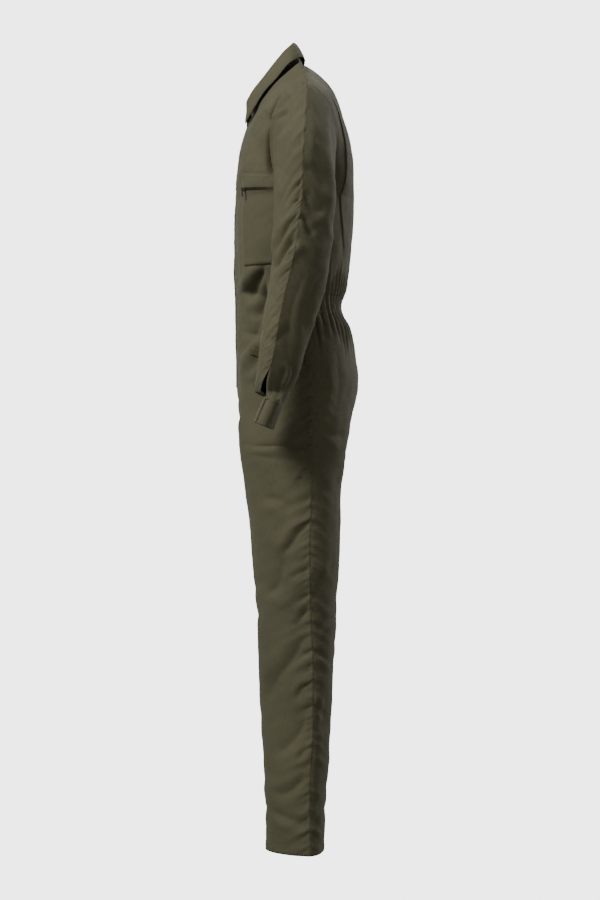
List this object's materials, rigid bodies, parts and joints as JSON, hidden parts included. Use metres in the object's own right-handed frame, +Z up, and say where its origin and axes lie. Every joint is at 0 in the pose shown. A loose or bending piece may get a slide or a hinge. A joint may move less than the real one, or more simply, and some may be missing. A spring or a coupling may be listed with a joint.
{
  "type": "boiler suit",
  "caption": "Olive one-piece work suit with turned collar, zipped breast pockets, elasticated back waist, action pleats and straight legs, hollow as worn.",
  "frame": {"origin": "between the shoulders, level with them, where the wearer holds the suit up", "axes": "+X to the wearer's left, -Y to the front, +Z up"},
  "size_m": [0.6802, 0.2503, 1.5845],
  "materials": {
    "back_leg_left": "olive twill, faint sheen",
    "back_leg_right": "olive twill, faint sheen",
    "back_upper": "olive twill, faint sheen",
    "back_waist": "olive twill, faint sheen",
    "breast_pocket_left": "olive twill, faint sheen",
    "breast_pocket_right": "olive twill, faint sheen",
    "breast_zip_left": "woven tape",
    "breast_zip_right": "woven tape",
    "chest_band_left": "olive twill, faint sheen",
    "chest_band_right": "olive twill, faint sheen",
    "collar_fall": "olive twill, faint sheen",
    "collar_stand": "olive twill, faint sheen",
    "cuff_left": "olive twill, faint sheen",
    "cuff_right": "olive twill, faint sheen",
    "front_left": "olive twill, faint sheen",
    "front_placket": "olive twill, faint sheen",
    "front_right": "olive twill, faint sheen",
    "hip_welt_left": "olive twill, faint sheen",
    "hip_welt_right": "olive twill, faint sheen",
    "side_welt_left": "olive twill, faint sheen",
    "side_welt_right": "olive twill, faint sheen",
    "sleeve_back_left": "olive twill, faint sheen",
    "sleeve_back_right": "olive twill, faint sheen",
    "sleeve_front_left": "olive twill, faint sheen",
    "sleeve_front_right": "olive twill, faint sheen",
    "zip_pull_left": "dulled zip metal",
    "zip_pull_right": "dulled zip metal",
    "zip_slider_left": "dulled zip metal",
    "zip_slider_right": "dulled zip metal"
  },
  "bodies": {
    "suit": {"back_leg_left": "back_leg_left", "back_leg_right": "back_leg_right", "back_upper": "back_upper", "back_waist": "back_waist", "breast_pocket_left": "breast_pocket_left", "breast_pocket_right": "breast_pocket_right", "breast_zip_left": "breast_zip_left", "breast_zip_right": "breast_zip_right", "chest_band_left": "chest_band_left", "chest_band_right": "chest_band_right", "collar_fall": "collar_fall", "collar_stand": "collar_stand", "cuff_left": "cuff_left", "cuff_right": "cuff_right", "front_left": "front_left", "front_placket": "front_placket", "front_right": "front_right", "hip_welt_left": "hip_welt_left", "hip_welt_right": "hip_welt_right", "side_welt_left": "side_welt_left", "side_welt_right": "side_welt_right", "sleeve_back_left": "sleeve_back_left", "sleeve_back_right": "sleeve_back_right", "sleeve_front_left": "sleeve_front_left", "sleeve_front_right": "sleeve_front_right", "zip_slider_left": "zip_slider_left", "zip_slider_right": "zip_slider_right"},
    "pull_left": {"zip_pull_left": "zip_pull_left"},
    "pull_right": {"zip_pull_right": "zip_pull_right"}
  },
  "joints": [
    {"name": "pull_swing_left", "type": "hinge", "parent": "suit", "child": "pull_left", "pos_m": [0.13854, -0.11256, -0.22167], "axis": [-0.917, -0.3907, 0.0808], "range_deg": [0, 140]},
    {"name": "pull_swing_right", "type": "hinge", "parent": "suit", "child": "pull_right", "pos_m": [-0.13854, -0.11256, -0.22167], "axis": [-0.917, 0.3907, -0.0808], "range_deg": [0, 140]}
  ]
}
